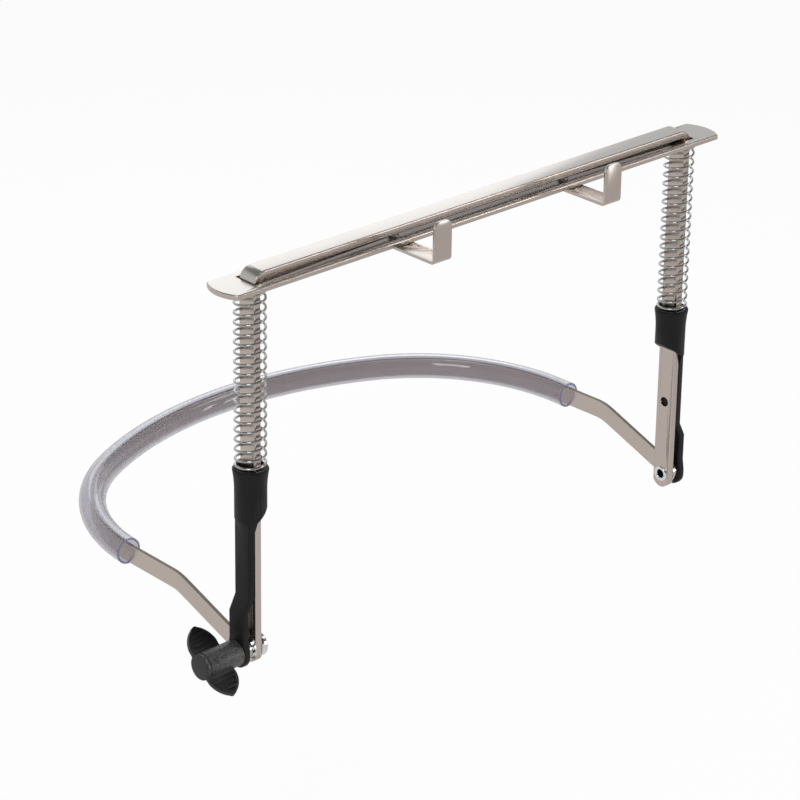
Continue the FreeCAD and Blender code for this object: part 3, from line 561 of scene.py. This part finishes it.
def wire_stretch(start_x, start_z, turns, pitch):
    """A round wire that climbs by the pitch in each turn."""
    bpy.ops.object.select_all(action="DESELECT")
    bpy.ops.mesh.primitive_circle_add(vertices=WIRE_SIDES, radius=mm(WIRE_RADIUS))
    piece = bpy.context.active_object
    bpy.ops.object.mode_set(mode="EDIT")
    bpy.ops.mesh.select_all(action="SELECT")
    bpy.ops.transform.rotate(value=math.pi / 2, orient_axis="X", center_override=(0, 0, 0))
    bpy.ops.transform.translate(value=mm(start_x, 0, start_z))
    bpy.ops.object.mode_set(mode="OBJECT")
    helix = piece.modifiers.new("helix", "SCREW")
    helix.angle = 2 * math.pi * turns
    helix.screw_offset = mm(pitch * turns)
    helix.steps = helix.render_steps = round(STEPS_PER_TURN * turns)
    bpy.ops.object.modifier_apply(modifier=helix.name)
    return piece


# %% [markdown]
# The three stretches are joined into one wire, its two ends are closed, and it is set on the spot
# where the CAD's spring stands, with its lower end resting on the sleeve. The plate presses the
# springs together when it slides down, but here they are wound at the length that the CAD gives
# them.

# %% Wound springs
COIL_RADIUS = 5.3
CLOSE_PITCH = 1.5
OPEN_TURNS = 17.5
SEAM_GAP = 0.01                        # where stretches meet, corners this near, in mm, are one


def close_wire(coil):
    """Merge the joints of the stretches, close the two ends and turn the faces outwards."""
    bpy.ops.mesh.select_all(action="SELECT")
    bpy.ops.mesh.remove_doubles(threshold=mm(SEAM_GAP))
    bpy.ops.mesh.fill_holes(sides=0)
    bpy.ops.mesh.select_all(action="SELECT")
    bpy.ops.mesh.normals_make_consistent(inside=False)


def wound_spring(node, name):
    """Wind the spring that stands in the node's box."""
    low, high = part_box(node)
    middle = (low + high) / 2
    length = (high.z - low.z) / mm(1)
    open_pitch = (length - 2 * WIRE_RADIUS - 2 * CLOSE_PITCH) / OPEN_TURNS
    top_turn = length - WIRE_RADIUS - CLOSE_PITCH
    stretches = [
        wire_stretch(COIL_RADIUS, WIRE_RADIUS, turns=1, pitch=CLOSE_PITCH),
        wire_stretch(COIL_RADIUS, WIRE_RADIUS + CLOSE_PITCH, turns=OPEN_TURNS, pitch=open_pitch),
        wire_stretch(-COIL_RADIUS, top_turn, turns=1, pitch=CLOSE_PITCH)]
    for stretch in stretches:
        stretch.select_set(True)
    bpy.ops.object.join()
    coil = bpy.context.active_object
    coil.name = name
    bpy.ops.object.mode_set(mode="EDIT")
    close_wire(coil)
    bpy.ops.transform.translate(value=(middle.x, middle.y, low.z))
    bpy.ops.object.mode_set(mode="OBJECT")
    bpy.ops.object.shade_smooth_by_angle(angle=math.radians(50))
    coil.data.materials.append(wire)
    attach(coil, frame["nodes"][node]["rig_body"])
    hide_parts(node)
    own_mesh(coil)
    print(name, "pitch %.3f mm," % open_pitch, "faces", len(coil.data.polygons))


wound_spring("left_spring", "coil_left")
wound_spring("right_spring", "coil_right")

# %% [markdown]
# The clear tube is soft hose that is pushed over the strap, so that the steel doesn't press on the
# neck. It takes the strap's shape, so it starts as one ring at its right end and is led the way the
# strap runs: a short straight, a side bend, the flat bend at the back, and a side bend. A bevelled
# curve could follow the same line, but spinning the ring gives exact arcs. The side bends run
# smoothly into the back bend, so the triangle between their centres gives every angle.

# %% The line of the neck ring
RING_X = 107.75                        # the strap's sides, from the middle
SIDE_RADIUS, BACK_RADIUS = 73.6, 147.5
side_centre_x = RING_X - SIDE_RADIUS
back_centre_y = -math.sqrt((BACK_RADIUS - SIDE_RADIUS) ** 2 - side_centre_x ** 2)
side_angle = math.atan2(-back_centre_y, side_centre_x)
print("side bends of %.1f degrees, back bend of %.1f degrees" % (
    math.degrees(side_angle), 180 - 2 * math.degrees(side_angle)))

# %% [markdown]
# The hose's ring stands upright on the strap's right side. It is extruded along the short straight
# and then spun round three upright axes, one for each bend. The last spin stops short, because the
# real hose is cut off there before the bend ends.

# %% Lead the ring round the neck
TUBE_RADIUS = 5.0
TUBE_SIDES = 48
TUBE_LIFT = 0.4                        # the hose hangs a little high on the strap
RIGHT_STRAIGHT = 4.6
LEFT_TRIM = 5.1


def spin(steps, angle, centre_x, centre_y):
    """Lead the selected ring round an upright axis."""
    bpy.ops.mesh.spin(steps=steps, angle=angle, center=mm(centre_x, centre_y, 0), axis=(0, 0, 1))


def skin_along_strap(name):
    """The outer skin of the tube."""
    bpy.ops.object.select_all(action="DESELECT")
    bpy.ops.mesh.primitive_circle_add(vertices=TUBE_SIDES, radius=mm(TUBE_RADIUS))
    tube = bpy.context.active_object
    tube.name = name
    bpy.ops.object.mode_set(mode="EDIT")
    bpy.ops.mesh.select_all(action="SELECT")
    bpy.ops.transform.rotate(value=math.pi / 2, orient_axis="X", center_override=(0, 0, 0))
    bpy.ops.transform.translate(value=mm(RING_X, -RIGHT_STRAIGHT, TUBE_LIFT))
    bpy.ops.mesh.extrude_region_move(TRANSFORM_OT_translate={"value": mm(0, RIGHT_STRAIGHT, 0)})
    spin(36, -side_angle, side_centre_x, 0)
    spin(28, 2 * side_angle - math.pi, 0, back_centre_y)
    spin(34, LEFT_TRIM / SIDE_RADIUS - side_angle, -side_centre_x, 0)
    bpy.ops.mesh.select_all(action="SELECT")
    bpy.ops.mesh.remove_doubles(threshold=mm(SEAM_GAP))
    bpy.ops.mesh.normals_make_consistent(inside=False)
    bpy.ops.object.mode_set(mode="OBJECT")
    return tube


tube = skin_along_strap("clear_tube_round_strap")
print(tube.name, "skin faces", len(tube.data.polygons))

# %% [markdown]
# The skin now gets a real wall inwards, which clear vinyl needs to bend the light. The wall's rim
# makes the two cut ends, and takes their own material.

# %% Wall and cut ends of the tube
TUBE_WALL = 0.8

tube.data.materials.append(vinyl)
tube.data.materials.append(cut_end)
wall = tube.modifiers.new("wall", "SOLIDIFY")
wall.thickness = mm(TUBE_WALL)
wall.offset = -1
wall.material_offset_rim = 1
bpy.ops.object.modifier_apply(modifier=wall.name)
bpy.ops.object.shade_smooth_by_angle(angle=math.radians(30))
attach(tube, frame["nodes"]["neck_tube"]["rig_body"])
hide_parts("neck_tube")
print(tube.name, "faces", len(tube.data.polygons))
